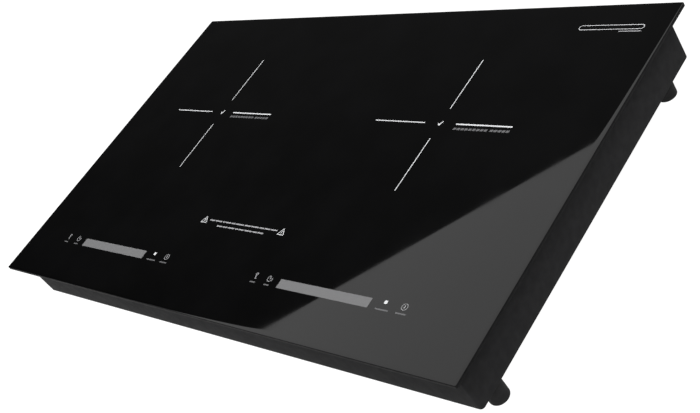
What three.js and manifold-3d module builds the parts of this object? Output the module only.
// Electric induction cooktop with two cooking zones: a black glass-ceramic plate bonded to a plastic
// frame, over a moulded case on four rubber feet. Each zone has its own coil, cooling fan, power board and
// touch control board. Millimetres: +X right, +Y back, +Z up. The origin is on the worktop, under the
// middle of the glass.

import * as THREE from "three";
import { mergeVertices } from "three/addons/utils/BufferGeometryUtils.js";
import Module from "manifold-3d";

const wasm = await Module();
wasm.setup();

// ---------------------------------------------------------------- driving dimensions

const GAP = 0.3; // left between two pieces that touch
const PLAY = 0.8; // left round a piece that passes through a hole

const glass = { width: 710, depth: 430, thickness: 4, corner: 1.8, chamfer: 0.5 };
const overhang = { side: 14, front: 13.5, back: 8.5 }; // from the edge of the glass to the wall of the case
const hull = { height: 51.5, wall: 2.4, floor: 2.5, corner: 4, edge: 1.2 };
const frame = {
  bed: 1.7, step: 1, ledge: 7, lip: 0.8, inner: 12, skirt: 1.8, drop: 10, post: 4.5, postMerge: 0.8,
};
const seal = { thickness: 0.9, width: 7, outset: 5.5 };
const foot = { radius: 10, height: 22.5, round: 1, bore: 5, boreDepth: 8 };
// from the walls of the case
const footInset = { front: { side: 12, end: 27 }, back: { side: 17, end: 31 } };
const screw = { shank: 1.9, head: 3.8, headHeight: 2.4, slot: 0.9, slotDepth: 1.2, tip: 1 };
const caseScrew = { length: 16, recess: 3, recessRoom: 0.6, fromSide: 91.4 }; // the middle pair is centred
const footScrew = { length: 25, boss: 6, bossHeight: 8 };

const zone = { leftX: -180, rightX: 165, fromBack: 163.5 }; // the printed crosses, off centre to the left
const coil = { inner: 20, outer: 89, thickness: 4.6 };
const mica = { thickness: 0.8, margin: 4, hole: 12 };
const carrier = { plate: 2.2, wall: 2.5, ear: 8, earReach: 9, sensorHole: 7, windows: 6, window: 14 };
const ferrite = { length: 54, width: 12, height: 4.5, from: 28, room: 0.5, pocketWall: 1.5 };
const guide = { radius: 7, pin: 3, height: 24, pinTop: 4.5 }; // posts that carry the coil springs
const spring = { wire: 0.7, radius: 5.2, turns: 3 };
const sensor = { stem: 6.4, flange: 14, flangeHeight: 2, cap: 10.5, step: 0.6, below: 5 };

const fan = {
  size: 92, height: 25, wall: 3.5, offsetX: 55, offsetY: 33.5, corner: 4, screwInset: 5,
  screwHole: 2.2,
};
const motor = { margin: 1, height: 3, strut: 4, strutHeight: 2.5 };
const impeller = {
  hub: 17, blades: 7, blade: 1.6, pitch: 52, tip: 1.7, below: 1.2, above: 2, shaft: 2,
  shaftLength: 3.4,
};
const board = {
  width: 145, depth: 120, thickness: 1.6, standoff: 6, fromFan: 6, offsetY: 30, hole: 1.8, inset: 5,
  post: 3.6,
};
const heatsink = {
  width: 40, depth: 90, height: 20, base: 4, fin: 1.6, fins: 12, lift: 4, inset: 9, fromEdge: 6,
};
const choke = { radius: 11, section: 5, height: 13, round: 1.5, fromInner: 72, offsetY: -1 };
const panel = {
  fromFront: 55.5, length: 214, depth: 46, wall: 1.6, floor: 1.6, height: 11.2, leg: 3.5, shift: -2,
  pad: 8,
};
const touch = {
  thickness: 1.6, lift: 0.6, margin: 0.5, stripLength: 121.5, stripDepth: 10.4, stripShift: -3.8,
};
const ribbon = {
  width: 12, thickness: 1.2, offsetX: 60, plugY: 6, plugDepth: 6, plugBelow: 3, windowDepth: 12,
  slack: 10,
};
const lead = { coil: 2.2, mains: 2.2 };
const gland = {
  x: 120, up: 21.5, thread: 8, flange: 11, bore: 4, outside: 10.5, inside: 10, nut: 11.5,
  nutHeight: 6,
};
const terminal = {
  width: 40, depth: 22, height: 19, poles: 3, fromWall: 27, rib: 2, ribHeight: 4, well: 3,
  wellDepth: 4,
};
const grille = { slot: 4, bar: 3.1, rim: 3 };
const louvre = { width: 36, height: 3.5, pitchX: 44, pitchZ: 8, columns: 4, rows: 2, up: 21.5, start: 4 };
const sides = { ring: 28, part: 20, boss: 12, hole: 8, screw: 10 }; // facets round a full circle

// Parts soldered to a power board: x from the board's inner edge, y from the middle of the zone.
const mainsInput = { x: 16, width: 12, depth: 9, height: 10, aboveFan: 5 };
const controlSocket = { width: 16, depth: 7, height: 8, fromEdge: 6 };
const coilTerminals = { x: 123, y: 30, width: 14, depth: 14, height: 12 };
const filterCapacitor = { x: 75, y: 30, width: 30, depth: 18, height: 20 };
const resonanceCapacitor = { x: 75, y: 60, width: 32, depth: 16, height: 22 };
const fuseHolder = { x: 106, y: -8, width: 26, depth: 12, height: 9 };
const transistors = { count: 4, pitch: 20, from: -6, width: 15, depth: 5 };
const touchChips = { places: [-70, -20, 70], y: 14, width: 11, depth: 9, height: 2 };
const CUT = 1; // how far a cutting or joining shape reaches past the surface it meets

// ---------------------------------------------------------------- levels and outlines worked out from them

const caseWidth = glass.width - 2 * overhang.side;
const caseFront = overhang.front - glass.depth / 2;
const caseBack = glass.depth / 2 - overhang.back;
const caseDepth = caseBack - caseFront;
const caseMiddleY = (caseFront + caseBack) / 2;
const caseBottom = foot.height;
const floorTop = caseBottom + hull.floor;
const caseTop = caseBottom + hull.height;
const bedBottom = caseTop + GAP;
const bedTop = bedBottom + frame.bed;
const sealBottom = bedTop + GAP;
const underGlass = sealBottom + seal.thickness; // the highest level of what touches the glass from below
const glassBottom = underGlass + GAP;

const micaBottom = underGlass - mica.thickness;
const coilTop = micaBottom - GAP;
const coilBottom = coilTop - coil.thickness;
const plateTop = coilBottom - GAP;
const plateBottom = plateTop - carrier.plate;
const pocketDepth = ferrite.height + ferrite.room;
const rimInner = coil.outer + PLAY;
const rimOuter = rimInner + carrier.wall;
const earRadius = rimOuter + carrier.earReach;
const guideTop = floorTop + guide.height;
const guideAngles = [90, 210, 330];

const boardBottom = floorTop + board.standoff + GAP;
const boardTop = boardBottom + board.thickness;
const fanBore = fan.size / 2 - fan.wall;
const fanInnerEdge = fan.offsetX - fan.size / 2; // from the zone's centre towards the middle of the cooktop
const boardInnerEdge = board.fromFan - fanInnerEdge;
const boardCentre = boardInnerEdge + board.width / 2;
const boardFront = board.offsetY - board.depth / 2;
const mainsY = fan.offsetY + fan.size / 2 + mainsInput.aboveFan; // the mains wires pass behind the fan
const zoneY = glass.depth / 2 - zone.fromBack;
const panelY = -glass.depth / 2 + panel.fromFront;
const panelBottom = underGlass - panel.height;
const touchBottom = panelBottom + panel.floor + touch.lift;
const touchTop = touchBottom + touch.thickness;
const wallInnerY = caseBack - hull.wall;
const postInset = hull.wall + PLAY / 2 + frame.skirt + frame.post - frame.postMerge;
const postColumns = [-1, 0, 1].map((column) => column * (caseWidth / 2 - caseScrew.fromSide));
const postBottom = floorTop + caseScrew.recess + screw.headHeight;
const pilotRadius = screw.shank + GAP;

const zones = [
  { name: "left", x: zone.leftX, out: -1 },
  { name: "right", x: zone.rightX, out: 1 },
];
const corners = [
  { end: "front", side: "left", x: -1, y: -1 },
  { end: "front", side: "right", x: 1, y: -1 },
  { end: "back", side: "left", x: -1, y: 1 },
  { end: "back", side: "right", x: 1, y: 1 },
];

// ---------------------------------------------------------------- geometry helpers

// A geometry's triangles with shared corners merged and collapsed triangles dropped.
function weld(geometry) {
  const bare = geometry.clone();
  bare.deleteAttribute("normal");
  bare.deleteAttribute("uv");
  const merged = mergeVertices(bare, 1e-3);
  const kept = [];
  for (let i = 0; i < merged.index.count; i += 3) {
    const [a, b, c] = [0, 1, 2].map((k) => merged.index.getX(i + k));
    if (a !== b && b !== c && c !== a) kept.push(a, b, c);
  }
  return { vertices: new Float32Array(merged.attributes.position.array), triangles: new Uint32Array(kept) };
}

function toSolid(geometry) {
  const { vertices, triangles } = weld(geometry);
  return new wasm.Manifold(new wasm.Mesh({ numProp: 3, vertProperties: vertices, triVerts: triangles }));
}

function toGeometry(solid) {
  const mesh = solid.getMesh();
  const geometry = new THREE.BufferGeometry();
  geometry.setAttribute("position", new THREE.BufferAttribute(new Float32Array(mesh.vertProperties), 3));
  geometry.setIndex(new THREE.BufferAttribute(new Uint32Array(mesh.triVerts), 1));
  return geometry;
}

// Joins the geometries in `added`, then cuts away the ones in `removed`.
function combine(added, removed = []) {
  let solid = toSolid(added[0]);
  for (const geometry of added.slice(1)) solid = solid.add(toSolid(geometry));
  for (const geometry of removed) solid = solid.subtract(toSolid(geometry));
  return toGeometry(solid);
}

function roundedRect(width, depth, radius, middle = 0) {
  const [x, y] = [width / 2 - radius, depth / 2 - radius];
  const shape = new THREE.Shape();
  shape.absarc(x, middle + y, radius, 0, Math.PI / 2);
  shape.absarc(-x, middle + y, radius, Math.PI / 2, Math.PI);
  shape.absarc(-x, middle - y, radius, Math.PI, 1.5 * Math.PI);
  shape.absarc(x, middle - y, radius, 1.5 * Math.PI, 2 * Math.PI);
  shape.closePath();
  return shape;
}

// An outline extruded up from z, with its edges broken by `edge` at both ends.
function slab(shape, z, height, edge = 0, steps = 1) {
  const settings = { depth: height - 2 * edge, curveSegments: 2, bevelEnabled: edge > 0 };
  const bevel = { bevelThickness: edge, bevelSize: edge, bevelOffset: -edge, bevelSegments: steps };
  Object.assign(settings, bevel);
  return new THREE.ExtrudeGeometry(shape, settings).translate(0, 0, z + edge);
}

// A flat ring between two outlines.
function ring(outer, inner, z, height) {
  outer.holes.push(inner);
  return slab(outer, z, height);
}

// The case's outline, grown by `grow` all round.
function caseOutline(grow) {
  const radius = Math.max(hull.corner + grow, CUT);
  return roundedRect(caseWidth + 2 * grow, caseDepth + 2 * grow, radius, caseMiddleY);
}

function box(width, depth, height, x, y, z) {
  return new THREE.BoxGeometry(width, depth, height).translate(x, y, z + height / 2);
}

function cylinder(radius, height, x, y, z, facets = sides.boss) {
  const standing = new THREE.CylinderGeometry(radius, radius, height, facets).rotateX(Math.PI / 2);
  return standing.translate(x, y, z + height / 2);
}

// A profile of [radius, z] points, closed or from axis to axis, turned about Z.
function turned(profile, facets = sides.part) {
  const points = profile.map(([radius, z]) => new THREE.Vector2(radius, z));
  return new THREE.LatheGeometry(points, facets).rotateX(Math.PI / 2);
}

// A tube-shaped washer: a rectangle turned about Z.
function washer(inner, outer, z, height, facets = sides.ring) {
  const top = z + height;
  return turned([[inner, z], [outer, z], [outer, top], [inner, top], [inner, z]], facets);
}

function sweep(curve, section, steps) {
  const settings = { steps, extrudePath: curve, curveSegments: 2, bevelEnabled: false };
  return new THREE.ExtrudeGeometry(section, settings);
}

function wire(points, radius, steps) {
  const curve = new THREE.CatmullRomCurve3(points.map((point) => new THREE.Vector3(...point)));
  return sweep(curve, new THREE.Shape().absarc(0, 0, radius, 0, 2 * Math.PI), steps);
}

function polar(radius, degrees) {
  const angle = THREE.MathUtils.degToRad(degrees);
  return [radius * Math.cos(angle), radius * Math.sin(angle)];
}

// ---------------------------------------------------------------- materials and the scene graph

const finishes = {
  glass: { color: 0x0b0b0c, roughness: 0.05, metalness: 0 },
  blackPlastic: { color: 0x1c1c1d, roughness: 0.55, metalness: 0 },
  greyPlastic: { color: 0x8e8f90, roughness: 0.5, metalness: 0 },
  whitePlastic: { color: 0xd9d8d2, roughness: 0.5, metalness: 0 },
  rubber: { color: 0x151515, roughness: 0.8, metalness: 0 },
  silicone: { color: 0x202022, roughness: 0.7, metalness: 0 },
  steel: { color: 0xb8babd, roughness: 0.35, metalness: 1 },
  aluminium: { color: 0xc9ccce, roughness: 0.4, metalness: 1 },
  copper: { color: 0xa8562c, roughness: 0.4, metalness: 1 },
  mica: { color: 0xb7a583, roughness: 0.6, metalness: 0 },
  circuit: { color: 0x2c5a34, roughness: 0.5, metalness: 0 },
};

const cooktop = new THREE.Group();

function place(name, geometry, finish, parent = cooktop) {
  const mesh = new THREE.Mesh(geometry, new THREE.MeshStandardMaterial(finishes[finish]));
  mesh.name = name;
  parent.add(mesh);
  return mesh;
}

// ---------------------------------------------------------------- glass, seal and frame

function glassPlate() {
  const outline = roundedRect(glass.width, glass.depth, glass.corner);
  return slab(outline, glassBottom, glass.thickness, glass.chamfer);
}

function glassSeal() {
  return ring(caseOutline(seal.outset), caseOutline(seal.outset - seal.width), sealBottom, seal.thickness);
}

// A bed for the seal with a low wall round it, a skirt that drops inside the case, and hollow posts that
// take the case screws. The bed reaches out past the case and laps down over it, so it can rest on a
// worktop.
function topFrame() {
  const skirtOuter = -hull.wall - PLAY / 2;
  const boreDepth = caseScrew.length + 2 * CUT;
  const posts = screwPlaces().map(([x, y]) => cylinder(frame.post, bedTop - postBottom, x, y, postBottom));
  const bores = screwPlaces().map(([x, y]) => {
    return cylinder(pilotRadius, boreDepth, x, y, postBottom - CUT, sides.hole);
  });
  return combine(
    [
      ring(caseOutline(frame.ledge), caseOutline(frame.ledge - frame.step), bedBottom, underGlass - bedBottom),
      ring(caseOutline(frame.ledge), caseOutline(-frame.inner), bedBottom, frame.bed),
      ring(caseOutline(frame.ledge), caseOutline(PLAY / 2), bedBottom - frame.lip, frame.lip + frame.bed / 2),
      ring(
        caseOutline(skirtOuter),
        caseOutline(skirtOuter - frame.skirt),
        bedBottom - frame.drop,
        frame.drop + frame.bed / 2,
      ),
      ...posts,
    ],
    bores,
  );
}

function screwPlaces() {
  return postColumns.flatMap((x) => [caseFront + postInset, caseBack - postInset].map((y) => [x, y]));
}

// ---------------------------------------------------------------- case and what fastens to it

function footPlaces() {
  return corners.map(({ end, side, x, y }) => {
    const inset = footInset[end];
    const wallY = y < 0 ? caseFront : caseBack;
    return { name: `${end}_${side}`, x: x * (caseWidth / 2 - inset.side), y: wallY - y * inset.end };
  });
}

function bottomCase() {
  const { boss, bossHeight, length } = footScrew;
  const bosses = footPlaces().map(({ x, y }) => cylinder(boss, bossHeight + CUT, x, y, floorTop - CUT));
  const pilotDepth = foot.boreDepth - GAP + length - caseBottom + 2 * CUT;
  const pilots = footPlaces().map(({ x, y }) => {
    return cylinder(pilotRadius, pilotDepth, x, y, caseBottom - CUT, sides.hole);
  });
  return combine(
    [caseShell(), ...bosses, ...zones.flatMap(zoneSupports), ...screwPlaces().map(recessBoss)],
    [
      ...pilots,
      ...screwPlaces().flatMap(screwRecess),
      ...zones.flatMap(intakeSlots),
      ...zones.flatMap(louvres),
      glandHole(),
    ],
  );
}

// Each case screw's head sits in a recess, under a low boss that the frame's post stands on.
function recessBoss([x, y]) {
  const radius = screw.head + caseScrew.recessRoom + hull.wall - PLAY / 2;
  return cylinder(radius, caseScrew.recess + CUT - GAP, x, y, floorTop - CUT);
}

function screwRecess([x, y]) {
  return [
    cylinder(screw.head + caseScrew.recessRoom, caseScrew.recess + CUT, x, y, caseBottom - CUT),
    cylinder(pilotRadius, postBottom - caseBottom + CUT, x, y, caseBottom - CUT, sides.hole),
  ];
}

// The open tub: straight walls, rounded bottom edge.
function caseShell() {
  const tall = hull.height + 2 * hull.edge;
  const outside = slab(caseOutline(0), caseBottom, tall, hull.edge, 2);
  const inside = slab(caseOutline(-hull.wall), floorTop, tall, hull.edge / 2, 1);
  const above = box(2 * caseWidth, 2 * caseDepth, tall, 0, 0, caseTop);
  return combine([outside], [inside, above]);
}

// Guide posts for the coil springs, and standoffs for the power board.
function zoneSupports({ x, out }) {
  const posts = guideAngles.flatMap((angle) => {
    const [dx, dy] = polar(earRadius, angle);
    const pinHeight = plateTop + guide.pinTop - guideTop + CUT;
    return [
      cylinder(guide.radius, guide.height + CUT, x + dx, zoneY + dy, floorTop - CUT),
      cylinder(guide.pin, pinHeight, x + dx, zoneY + dy, guideTop - CUT),
    ];
  });
  const standoffs = boardHoles(out).map(([dx, dy]) => {
    return cylinder(board.post, board.standoff + CUT, x + dx, zoneY + dy, floorTop - CUT, sides.hole);
  });
  return [...posts, ...standoffs];
}

// Where the power board is screwed down, from the centre of its zone.
function boardHoles(out) {
  const [reachX, reachY] = [board.width / 2 - board.inset, board.depth / 2 - board.inset];
  return corners.map((corner) => [out * boardCentre + corner.x * reachX, board.offsetY + corner.y * reachY]);
}

// Parallel slots under each fan, trimmed to a circle.
function intakeSlots({ x, out }) {
  const reach = fanBore - grille.rim;
  const pitch = grille.slot + grille.bar;
  const count = Math.floor((reach - grille.slot / 2) / pitch);
  const slots = [];
  for (let n = -count; n <= count; n++) {
    const half = Math.sqrt(reach ** 2 - (Math.abs(n) * pitch + grille.slot / 2) ** 2);
    const middle = x - out * fan.offsetX + n * pitch;
    const y = zoneY + fan.offsetY;
    slots.push(box(grille.slot, 2 * half, hull.floor + 2 * CUT, middle, y, caseBottom - CUT));
  }
  return slots;
}

// Rows of exhaust slots in the rear wall behind each coil.
function louvres({ x, out }) {
  const slots = [];
  for (let column = 0; column < louvre.columns; column++) {
    for (let row = 0; row < louvre.rows; row++) {
      const dx = out * (column * louvre.pitchX - louvre.start);
      const z = caseBottom + louvre.up + row * louvre.pitchZ - louvre.height / 2;
      slots.push(box(louvre.width, hull.wall + 2 * CUT, louvre.height, x + dx, caseBack - hull.wall / 2, z));
    }
  }
  return slots;
}

function glandHole() {
  const hole = cylinder(gland.thread + GAP, hull.wall + 2 * CUT, 0, 0, -CUT - hull.wall, sides.part);
  return alongBack(hole);
}

// Lays a piece made about Z along +Y at the gland's place, its z = 0 on the outer face of the rear wall.
function alongBack(geometry) {
  return geometry.rotateX(-Math.PI / 2).translate(gland.x, caseBack, caseBottom + gland.up);
}

function rubberFoot() {
  const top = foot.height - GAP;
  const arc = [0, 45, 90].map((degrees) => {
    const [outward, down] = polar(foot.round, -90 + degrees);
    return [foot.radius - foot.round + outward, foot.round + down];
  });
  const bore = [
    [pilotRadius, top],
    [pilotRadius, foot.boreDepth],
    [foot.bore, foot.boreDepth],
    [foot.bore, 0],
  ];
  return turned([...bore, ...arc, [foot.radius, top], [pilotRadius, top]]);
}

// A pan-head screw pointing up: the head's underside is at z = 0, with a cross recess in its face.
function panScrew(length) {
  const { shank, head, headHeight, slot, slotDepth, tip } = screw;
  const headPoints = [[0, -headHeight], [head - tip, -headHeight], [head, tip - headHeight], [head, 0]];
  const shankPoints = [[shank, 0], [shank, length - tip], [shank - tip, length], [0, length]];
  const body = turned([...headPoints, ...shankPoints], sides.screw);
  const cross = [0, Math.PI / 2].map((angle) => {
    return box(head, slot, slotDepth * 2, 0, 0, -headHeight - slotDepth).rotateZ(angle);
  });
  return combine([body], cross);
}

function placeFeet() {
  for (const { name, x, y } of footPlaces()) {
    place(`foot_${name}`, rubberFoot(), "rubber").position.set(x, y, 0);
    place(`foot_screw_${name}`, panScrew(footScrew.length), "steel").position.set(x, y, foot.boreDepth - GAP);
  }
}

function placeCaseScrews() {
  screwPlaces().forEach(([x, y], index) => {
    const mesh = place(`case_screw_${index + 1}`, panScrew(caseScrew.length), "steel");
    mesh.position.set(x, y, caseBottom + caseScrew.recess - GAP);
  });
}

// ---------------------------------------------------------------- mains inlet

function cableGland() {
  const { thread, flange, bore, outside, inside } = gland;
  const profile = [
    [bore, -hull.wall - inside],
    [thread, -hull.wall - inside],
    [thread, GAP],
    [flange, GAP],
    [flange, outside * 0.35],
    [flange * 0.8, outside * 0.4],
    [flange * 0.72, outside * 0.85],
    [flange * 0.5, outside],
    [bore, outside],
    [bore, -hull.wall - inside],
  ];
  return alongBack(turned(profile));
}

function glandNut() {
  const bottom = -hull.wall - GAP - gland.nutHeight;
  const hexagon = cylinder(gland.nut, gland.nutHeight, 0, 0, bottom, 6);
  const hole = cylinder(gland.thread + GAP, gland.nutHeight + 2 * CUT, 0, 0, bottom - CUT, sides.part);
  return alongBack(combine([hexagon], [hole]));
}

// A block with a rib each side of every pole, and a well for each pole's screw.
function terminalBlock() {
  const { width, depth, height, poles, rib, ribHeight, well, wellDepth } = terminal;
  const pitch = (width - rib) / poles;
  const bodyHeight = height - ribHeight;
  const ribs = Array.from({ length: poles + 1 }, (_, n) => {
    return box(rib, depth, ribHeight + CUT, rib / 2 - width / 2 + n * pitch, 0, bodyHeight - CUT);
  });
  const wells = Array.from({ length: poles }, (_, n) => {
    return cylinder(well, wellDepth + CUT, (n - (poles - 1) / 2) * pitch, 0, bodyHeight - wellDepth);
  });
  const block = combine([box(width, depth, bodyHeight, 0, 0, 0), ...ribs], wells);
  return block.translate(gland.x, wallInnerY - terminal.fromWall, floorTop + GAP);
}

// ---------------------------------------------------------------- one zone's coil, about the zone's centre

function coilCarrier() {
  const height = coilTop - plateBottom;
  const hubOuter = coil.inner - PLAY;
  const windows = Array.from({ length: carrier.windows }, (_, n) => {
    const [x, y] = polar((coil.inner + coil.outer) / 2, (n * 360) / carrier.windows);
    return cylinder(carrier.window, carrier.plate + 2 * CUT, x, y, plateBottom - CUT);
  });
  return combine(
    [
      washer(carrier.sensorHole, rimOuter, plateBottom, carrier.plate),
      washer(rimInner, rimOuter, plateBottom, height),
      washer(hubOuter - carrier.wall, hubOuter, plateBottom, height, sides.part),
      ...guideAngles.flatMap(carrierEar),
      ...ferriteAngles().map(ferritePocket),
    ],
    [...windows, ...guideAngles.map(earHole)],
  );
}

function carrierEar(degrees) {
  const [x, y] = polar(earRadius, degrees);
  const middle = rimOuter + carrier.earReach / 2 - CUT;
  const bridge = box(carrier.earReach, 2 * carrier.ear, carrier.plate, middle, 0, plateBottom);
  const disc = cylinder(carrier.ear, carrier.plate, x, y, plateBottom);
  return [disc, bridge.rotateZ(THREE.MathUtils.degToRad(degrees))];
}

function earHole(degrees) {
  const [x, y] = polar(earRadius, degrees);
  return cylinder(guide.pin + PLAY, carrier.plate + 2 * CUT, x, y, plateBottom - CUT);
}

function ferriteAngles() {
  const pitch = 360 / carrier.windows;
  return Array.from({ length: carrier.windows }, (_, n) => (n + 0.5) * pitch);
}

// A tray under the plate, open below, that holds one ferrite bar.
function ferritePocket(degrees) {
  const { room, pocketWall } = ferrite;
  const [length, width] = [ferrite.length + 2 * room, ferrite.width + 2 * room];
  const middle = ferrite.from + ferrite.length / 2;
  const bottom = plateBottom - pocketDepth;
  const outer = box(length + 2 * pocketWall, width + 2 * pocketWall, pocketDepth + CUT, middle, 0, bottom);
  const inner = box(length, width, pocketDepth, middle, 0, bottom);
  return combine([outer], [inner]).rotateZ(THREE.MathUtils.degToRad(degrees));
}

function temperatureSensor() {
  const { stem, flange, flangeHeight, cap, step, below } = sensor;
  const seat = plateTop + GAP;
  const flangeTop = seat + flangeHeight;
  const profile = [[0, plateBottom - below], [stem, plateBottom - below], [stem, seat], [flange, seat]];
  profile.push([flange, flangeTop], [cap, flangeTop + step], [cap, underGlass], [0, underGlass]);
  return turned(profile);
}

class Helix extends THREE.Curve {
  constructor(radius, bottom, top, turns) {
    super();
    Object.assign(this, { radius, bottom, top, turns });
  }
  getPoint(t, target = new THREE.Vector3()) {
    const angle = 2 * Math.PI * this.turns * t;
    const z = this.bottom + t * (this.top - this.bottom);
    return target.set(this.radius * Math.cos(angle), this.radius * Math.sin(angle), z);
  }
}

function coilSpring() {
  const [bottom, top] = [guideTop + GAP + spring.wire, plateBottom - GAP - spring.wire];
  const helix = new Helix(spring.radius, bottom, top, spring.turns);
  const section = new THREE.Shape().absarc(0, 0, spring.wire, 0, 2 * Math.PI);
  return sweep(helix, section, spring.turns * 9);
}

function placeCoil(name, group) {
  place(`coil_carrier_${name}`, coilCarrier(), "blackPlastic", group);
  place(`coil_winding_${name}`, washer(coil.inner, coil.outer, coilBottom, coil.thickness), "copper", group);
  const micaOuter = coil.outer + mica.margin;
  place(`mica_sheet_${name}`, washer(mica.hole, micaOuter, micaBottom, mica.thickness), "mica", group);
  place(`temperature_sensor_${name}`, temperatureSensor(), "whitePlastic", group);
  guideAngles.forEach((degrees, index) => {
    const [x, y] = polar(earRadius, degrees);
    place(`coil_spring_${name}_${index + 1}`, coilSpring(), "steel", group).position.set(x, y, 0);
  });
}

// ---------------------------------------------------------------- one zone's fan

// A square frame round the bore, with a motor plate held by four struts.
function fanFrame() {
  const bottom = floorTop + GAP;
  const plate = impeller.hub + motor.margin;
  const struts = [45, 135, 225, 315].map((degrees) => {
    const length = fanBore - plate + 2 * CUT;
    const strut = box(length, motor.strut, motor.strutHeight, (fanBore + plate) / 2, 0, bottom);
    return strut.rotateZ(THREE.MathUtils.degToRad(degrees));
  });
  const reach = fan.size / 2 - fan.screwInset;
  const holes = corners.map(({ x, y }) => {
    return cylinder(fan.screwHole, fan.height + 2 * CUT, x * reach, y * reach, bottom - CUT, sides.hole);
  });
  const square = slab(roundedRect(fan.size, fan.size, fan.corner), bottom, fan.height);
  const bore = cylinder(fanBore, fan.height + 2 * CUT, 0, 0, bottom - CUT, sides.ring);
  const shaftHole = cylinder(impeller.shaft + GAP, motor.height + 2 * CUT, 0, 0, bottom - CUT);
  const plateDisc = cylinder(plate, motor.height, 0, 0, bottom, sides.part);
  return combine([combine([square], [bore]), plateDisc, ...struts], [...holes, shaftHole]);
}

// A cup-shaped hub with pitched blades and a short shaft that runs in the motor's bearing.
function fanImpeller() {
  const { hub, pitch, blade, shaft, shaftLength, below, above } = impeller;
  const bottom = floorTop + GAP + motor.height + below;
  const height = fan.height - motor.height - below - above;
  const reach = fanBore - impeller.tip - hub + CUT;
  const lean = THREE.MathUtils.degToRad(pitch);
  const chord = (height - 2 * CUT) / Math.sin(lean);
  const blades = Array.from({ length: impeller.blades }, (_, n) => {
    const flat = new THREE.BoxGeometry(reach, chord, blade);
    flat.rotateX(lean).translate(hub - CUT + reach / 2, 0, bottom + height / 2);
    return flat.rotateZ((2 * Math.PI * n) / impeller.blades);
  });
  const stub = cylinder(shaft, shaftLength + CUT, 0, 0, bottom - shaftLength);
  return combine([cylinder(hub, height, 0, 0, bottom, sides.part), ...blades, stub]);
}

// ---------------------------------------------------------------- one zone's electronics

// The board with its tall soldered parts: sockets, capacitors, fuse holder, and the transistors under the
// heatsink.
function powerBoard(out) {
  const on = (part, x, y, height = part.height) => {
    return box(part.width, part.depth, height + CUT / 2, out * x, y, boardTop - CUT / 2);
  };
  const fromInner = (part, y = part.y) => on(part, boardInnerEdge + part.x, y);
  const plate = box(board.width, board.depth, board.thickness, out * boardCentre, board.offsetY, boardBottom);
  const holes = boardHoles(out).map(([x, y]) => {
    return cylinder(board.hole, board.thickness + 2 * CUT, x, y, boardBottom - CUT, sides.hole);
  });
  const heatsinkX = boardInnerEdge + heatsink.inset + heatsink.width / 2;
  const row = Array.from({ length: transistors.count }, (_, n) => {
    return on(transistors, heatsinkX, transistors.from + n * transistors.pitch, heatsink.lift - GAP);
  });
  return combine(
    [
      plate,
      fromInner(mainsInput, mainsY),
      fromInner(filterCapacitor),
      fromInner(resonanceCapacitor),
      fromInner(coilTerminals),
      fromInner(fuseHolder),
      on(controlSocket, ribbon.offsetX, boardFront + controlSocket.fromEdge),
      ...row,
    ],
    holes,
  );
}

// An extruded comb of fins standing on the power transistors, its fins along X.
function heatsinkComb(out) {
  const { width, depth, height, base, fin, fins } = heatsink;
  const pitch = (depth - fin) / (fins - 1);
  const comb = new THREE.Shape();
  comb.moveTo(0, 0);
  comb.lineTo(depth, 0);
  for (let n = fins - 1; n >= 0; n--) {
    const start = n * pitch;
    comb.lineTo(start + fin, height);
    comb.lineTo(start, height);
    if (n > 0) {
      comb.lineTo(start, base);
      comb.lineTo(start - pitch + fin, base);
    }
  }
  comb.closePath();
  const body = new THREE.ExtrudeGeometry(comb, { depth: width, bevelEnabled: false });
  body.rotateX(Math.PI / 2).rotateZ(Math.PI / 2);
  const x = out * (boardInnerEdge + heatsink.inset + width / 2) - width / 2;
  return body.translate(x, boardFront + heatsink.fromEdge, boardTop + heatsink.lift);
}

function chokeRing(out) {
  const { radius, section, height, round } = choke;
  const [inner, outer] = [radius - section, radius + section];
  const [low, top] = [boardTop + GAP, boardTop + GAP + height];
  const outside = [[inner + round, low], [outer - round, low], [outer, low + round], [outer, top - round]];
  const inside = [[outer - round, top], [inner + round, top], [inner, top - round], [inner, low + round]];
  const ringBody = turned([...outside, ...inside, outside[0]]);
  return ringBody.translate(out * (boardInnerEdge + choke.fromInner), choke.offsetY, 0);
}

// A shallow tray on four legs that holds the touch board up against the glass.
function controlCarrier(out) {
  const { length, depth, wall, floor, height, leg, shift, pad } = panel;
  const reachX = length / 2 - leg - wall;
  const reachY = depth / 2 - leg - wall;
  const legHeight = panelBottom - floorTop - GAP + floor / 2;
  const legs = corners.map(({ x, y }) => {
    return cylinder(leg, legHeight, shift + x * reachX, y * reachY, floorTop + GAP);
  });
  const pads = corners.map(({ x, y }) => {
    return box(pad, pad, floor + touch.lift - GAP, shift + x * (reachX - pad), y * reachY, panelBottom);
  });
  const outer = box(length, depth, height, shift, 0, panelBottom);
  const inner = box(length - 2 * wall, depth - 2 * wall, height, shift, 0, panelBottom + floor);
  const [windowX, windowWidth] = [out * ribbon.offsetX, ribbon.width + ribbon.slack];
  const window = box(windowWidth, ribbon.windowDepth, floor + 2 * CUT, windowX, ribbon.plugY, panelBottom - CUT);
  return combine([combine([outer], [inner]), ...legs, ...pads], [window]);
}

// The touch board, with its ribbon socket poking down through the tray's floor.
function controlBoard(out) {
  const margin = 2 * (panel.wall + touch.margin);
  const [length, depth] = [panel.length - margin, panel.depth - margin];
  const plate = box(length, depth, touch.thickness, panel.shift, 0, touchBottom);
  const plugBottom = panelBottom - ribbon.plugBelow;
  const [plugWidth, plugHeight] = [ribbon.width + 2 * ribbon.thickness, touchBottom - plugBottom + CUT / 2];
  const plug = box(plugWidth, ribbon.plugDepth, plugHeight, out * ribbon.offsetX, ribbon.plugY, plugBottom);
  const { places, y, width, height } = touchChips;
  const chips = places.map((x) => box(width, touchChips.depth, height, x, y, touchTop - CUT / 5));
  return combine([plate, plug, ...chips]);
}

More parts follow.
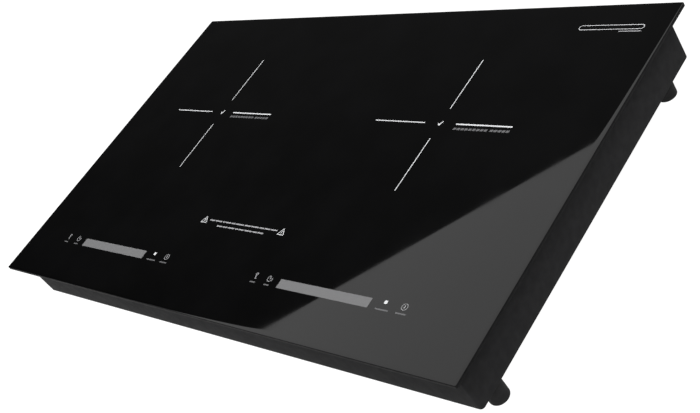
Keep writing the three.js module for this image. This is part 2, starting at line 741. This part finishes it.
function sliderDiffuser() {
  const height = underGlass - touchTop - GAP;
  const strip = slab(roundedRect(touch.stripLength, touch.stripDepth, CUT), touchTop + GAP, height);
  return strip.translate(touch.stripShift, 0, 0);
}

// ---------------------------------------------------------------- wiring, in the cooktop's own frame

// From the plug under the touch board, down to the floor of the case and up to the power board's socket.
function ribbonCable({ x, out }) {
  const [startY, startZ] = [panelY + ribbon.plugY, panelBottom - ribbon.plugBelow - GAP];
  const boardEdge = zoneY + boardFront;
  const endY = boardEdge + controlSocket.fromEdge - controlSocket.depth / 2 - GAP;
  const curve = new THREE.CatmullRomCurve3(
    [
      [startY, startZ],
      [startY + 1, startZ - 9],
      [startY + 18, floorTop + 11],
      [startY + 52, floorTop + 5],
      [boardEdge - 42, floorTop + 5],
      [boardEdge - 14, floorTop + 10],
      [endY, boardTop + controlSocket.height - 3],
    ].map(([y, z]) => new THREE.Vector3(x + out * ribbon.offsetX, y, z)),
  );
  const [halfWidth, halfHeight] = [ribbon.width / 2, ribbon.thickness / 2];
  const section = new THREE.Shape();
  section.moveTo(-halfWidth, -halfHeight);
  section.lineTo(halfWidth, -halfHeight);
  section.lineTo(halfWidth, halfHeight);
  section.lineTo(-halfWidth, halfHeight);
  section.closePath();
  return sweep(curve, section, 24);
}

// The sleeved pair of wires from the rim of the coil down to its terminals.
function coilLead({ x, out }) {
  const start = rimOuter + lead.coil + GAP;
  const endX = boardInnerEdge + coilTerminals.x;
  const endZ = boardTop + coilTerminals.height + 2 * GAP;
  const points = [
    [start, 12, plateTop],
    [start + 3, 16, plateTop - 3],
    [start + 12, 23, (plateTop + endZ) / 2 + 4],
    [endX, coilTerminals.y - 1, endZ + 8],
    [endX, coilTerminals.y, endZ],
  ];
  return wire(points.map(([dx, dy, z]) => [x + out * dx, zoneY + dy, z]), lead.coil, 20);
}

// The mains pair from the terminal block, round behind the fan, to the input socket on the power board.
function mainsLead({ x, out }) {
  const z = floorTop + GAP + 10;
  const socketX = x + out * (boardInnerEdge + mainsInput.x - mainsInput.width / 2 - GAP);
  const laneY = zoneY + mainsY;
  const blockSide = gland.x + out * (terminal.width / 2 + 2 * GAP);
  const blockY = wallInnerY - terminal.fromWall;
  const points = [
    [blockSide, blockY, z],
    [blockSide + out * 4, blockY, z],
  ];
  if (out < 0) points.push([0, blockY + 4, z - 3], [x + 90, blockY, z - 2], [x + 30, laneY + 6, z]);
  points.push([x - out * 12, laneY + 1, z + 2]);
  points.push([socketX - out * 3, laneY, boardTop + 5], [socketX, laneY, boardTop + 5]);
  return wire(points, lead.mains, out < 0 ? 30 : 14);
}

// ---------------------------------------------------------------- assembly

place("glass_plate", glassPlate(), "glass");
place("glass_seal", glassSeal(), "silicone");
place("top_frame", topFrame(), "blackPlastic");
place("bottom_case", bottomCase(), "blackPlastic");
placeFeet();
placeCaseScrews();
place("cable_gland", cableGland(), "blackPlastic");
place("gland_nut", glandNut(), "blackPlastic");
place("terminal_block", terminalBlock(), "whitePlastic");

for (const side of zones) {
  const { name, x, out } = side;
  const zoneGroup = new THREE.Group();
  zoneGroup.position.set(x, zoneY, 0);
  const fanGroup = new THREE.Group();
  fanGroup.position.set(-out * fan.offsetX, fan.offsetY, 0);
  const panelGroup = new THREE.Group();
  panelGroup.position.set(x, panelY, 0);
  zoneGroup.add(fanGroup);
  cooktop.add(zoneGroup, panelGroup);

  placeCoil(name, zoneGroup);
  place(`fan_frame_${name}`, fanFrame(), "blackPlastic", fanGroup);
  place(`fan_impeller_${name}`, fanImpeller(), "blackPlastic", fanGroup);
  place(`power_board_${name}`, powerBoard(out), "circuit", zoneGroup);
  place(`heatsink_${name}`, heatsinkComb(out), "aluminium", zoneGroup);
  place(`choke_${name}`, chokeRing(out), "copper", zoneGroup);
  place(`control_carrier_${name}`, controlCarrier(out), "whitePlastic", panelGroup);
  place(`control_board_${name}`, controlBoard(out), "circuit", panelGroup);
  place(`slider_diffuser_${name}`, sliderDiffuser(), "greyPlastic", panelGroup);
  place(`ribbon_cable_${name}`, ribbonCable(side), "greyPlastic");
  place(`coil_lead_${name}`, coilLead(side), "silicone");
  place(`mains_lead_${name}`, mainsLead(side), "silicone");
}

export default cooktop;
